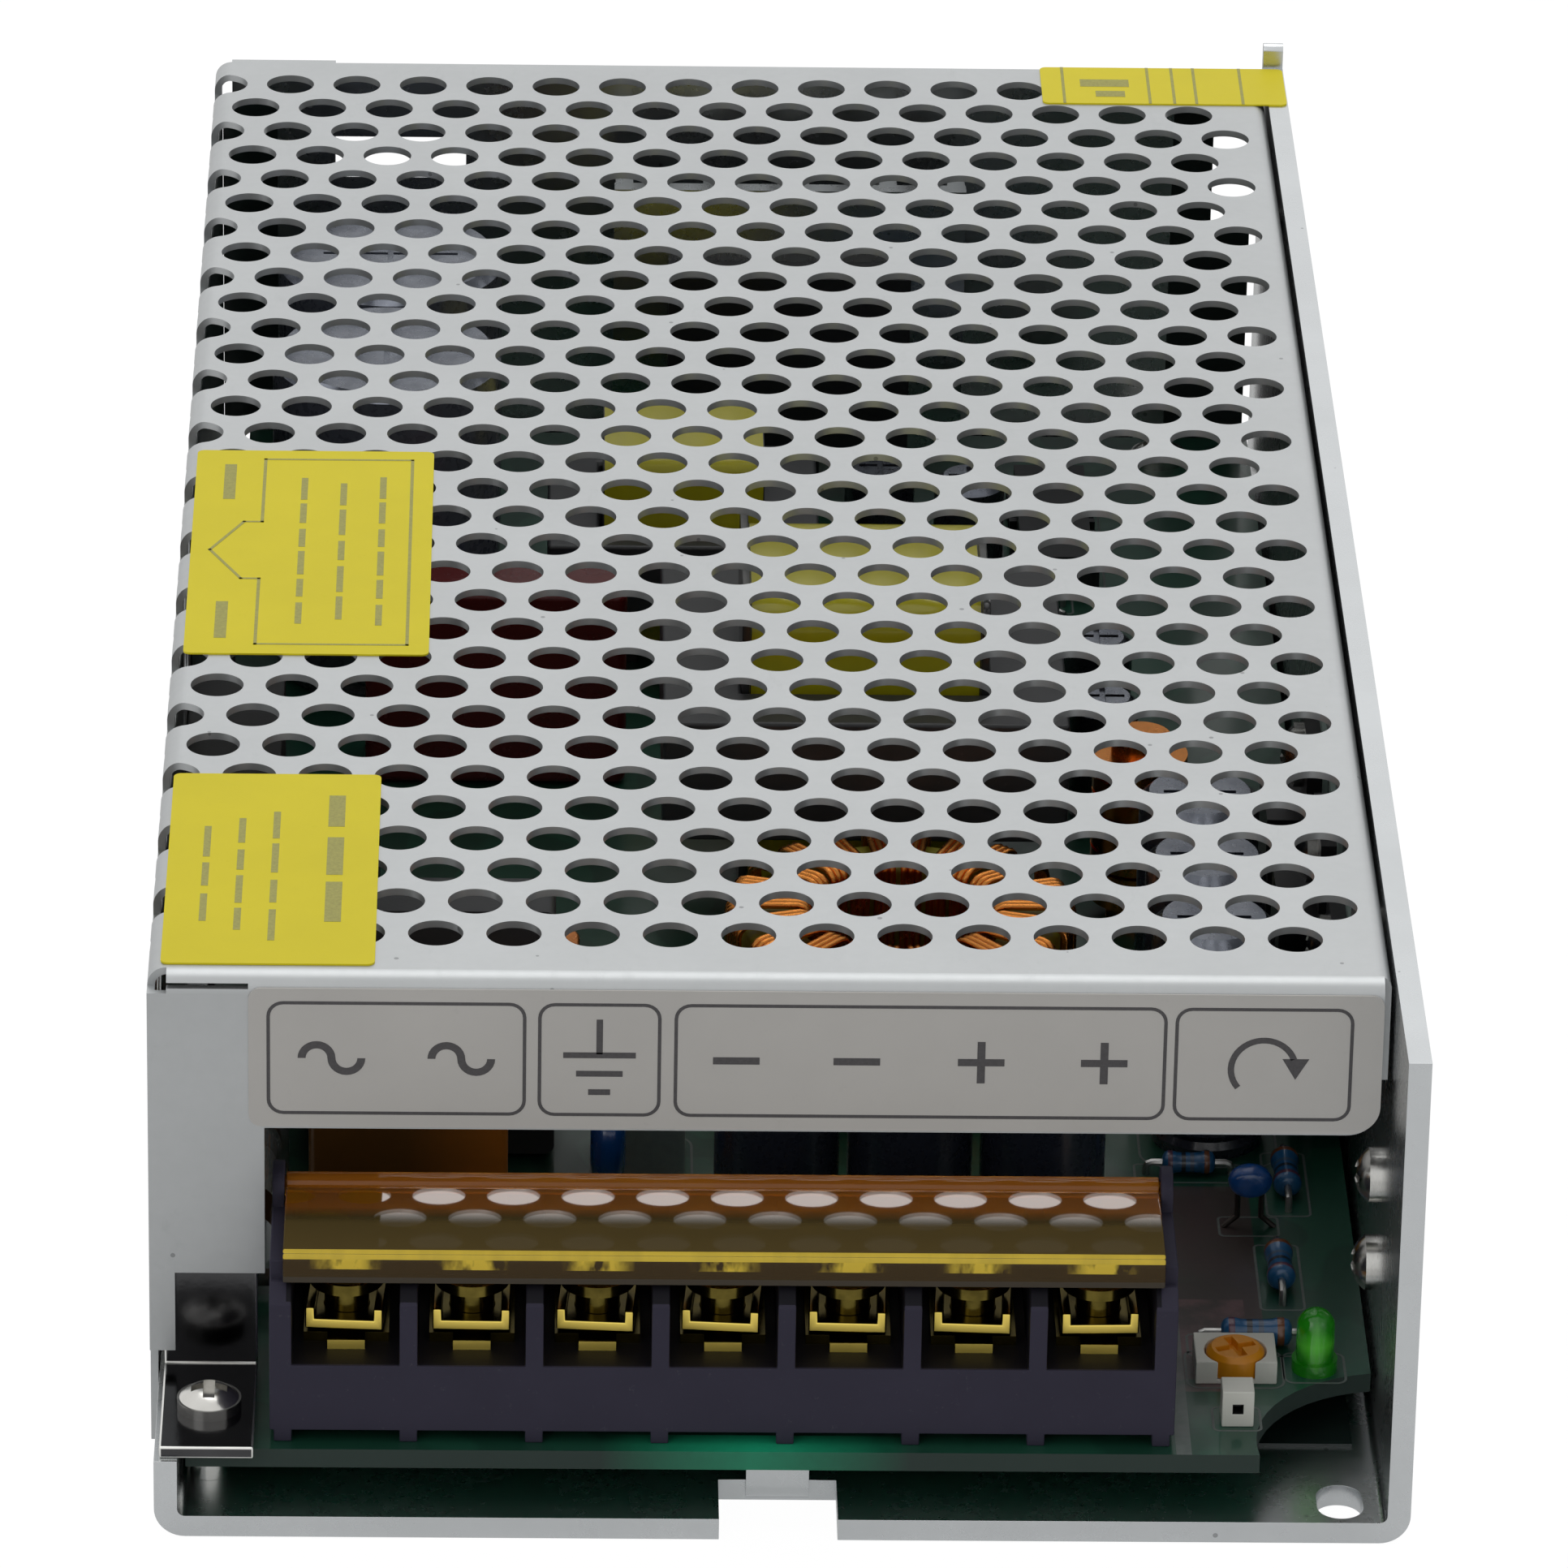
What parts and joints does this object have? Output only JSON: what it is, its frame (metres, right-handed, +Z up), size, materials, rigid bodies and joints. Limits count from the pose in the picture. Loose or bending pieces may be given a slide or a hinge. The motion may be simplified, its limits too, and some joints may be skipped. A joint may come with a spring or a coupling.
{
  "type": "mesh case switching power supply",
  "caption": "Open-frame switching power supply in a folded sheet chassis with a perforated cover, a barrier terminal block under a hinged clear flap, a trimmer and a selector.",
  "frame": {"origin": "middle of the underside of the case, at floor level", "axes": "+X across the case towards the full-height side wall, +Y along the case from the terminals to the rear, +Z up"},
  "size_m": [0.098, 0.199, 0.0442],
  "materials": {
    "chassis_sheet": "satin folded sheet",
    "cover_sheet": "satin folded perforated sheet",
    "silver_label": "printed film",
    "yellow_sticker": "printed film",
    "zinc_screws": "zinc plated",
    "insulating_film": "smooth film",
    "board_laminate": "solder mask",
    "nickel_plate": "bright nickel",
    "block_moulding": "moulded",
    "terminal_brass": "bright plated",
    "amber_plastic": "clear moulded",
    "ivory_plastic": "moulded",
    "orange_plastic": "moulded",
    "green_lens": "cast lens",
    "black_plastic": "moulded",
    "red_plastic": "moulded",
    "fuse_glass": "clear tube",
    "orange_film": "dipped resin",
    "ferrite": "fired ceramic",
    "enamelled_copper": "enamelled wire",
    "red_film": "dipped resin",
    "grey_plastic": "moulded box",
    "dark_green_resin": "dipped resin",
    "grey_sleeve": "shrunk sleeve",
    "yellow_tape": "film tape",
    "olive_core": "painted powder core",
    "black_sleeve": "shrunk sleeve",
    "blue_resin": "dipped resin",
    "thermal_rubber": "silicone sheet"
  },
  "bodies": {
    "case": {"chassis": "chassis_sheet", "cover": "cover_sheet", "terminal_label": "silver_label", "selector_sticker": "yellow_sticker", "corner_sticker": "yellow_sticker", "seal_sticker": "yellow_sticker", "cover_screws": "zinc_screws", "insulating_sheet": "insulating_film", "board_standoffs": "zinc_screws", "circuit_board": "board_laminate", "board_screws": "zinc_screws", "earth_bracket": "nickel_plate", "earth_screw": "zinc_screws", "terminal_block": "block_moulding", "terminal_plates": "terminal_brass", "clamp_washers": "terminal_brass", "terminal_screws": "terminal_brass", "adjuster_body": "ivory_plastic", "test_socket": "ivory_plastic", "indicator_led": "green_lens", "selector_body": "black_plastic", "wall_screws": "zinc_screws", "fuse": "fuse_glass", "fuse_clips": "nickel_plate", "inlet_film_capacitor": "orange_film", "line_choke_core": "ferrite", "line_choke_coils": "enamelled_copper", "film_capacitor": "red_film", "grey_capacitor": "grey_plastic", "thermistor": "dark_green_resin", "bulk_capacitors": "grey_sleeve", "main_core": "ferrite", "main_coil": "yellow_tape", "drive_core": "ferrite", "drive_coil": "yellow_tape", "choke_core": "olive_core", "choke_winding": "enamelled_copper", "rod_choke": "enamelled_copper", "output_capacitors": "black_sleeve", "small_capacitors": "black_sleeve", "disc_capacitors": "blue_resin", "resistors": "blue_resin", "control_chips": "black_plastic", "rear_heatsink": "chassis_sheet", "bridge_rectifier": "black_plastic", "power_devices": "black_plastic", "thermal_pads": "thermal_rubber", "device_screws": "zinc_screws"},
    "terminal_flap": {"terminal_cover": "amber_plastic"},
    "adjuster": {"adjuster_rotor": "orange_plastic"},
    "selector": {"selector_slider": "red_plastic"}
  },
  "joints": [
    {"name": "flap_hinge", "type": "hinge", "parent": "case", "child": "terminal_flap", "pos_m": [-0.0044, -0.0832, 0.0221], "axis": [-1, 0, 0], "range_deg": [0, 55]},
    {"name": "adjuster_turn", "type": "hinge", "parent": "case", "child": "adjuster", "pos_m": [0.036, -0.0842, 0.007], "axis": [0, 0, 1], "range_deg": [-130, 130]},
    {"name": "selector_slide", "type": "slide", "parent": "case", "child": "selector", "axis": [0, 1, 0], "range_m": [0, 0.0045]}
  ]
}
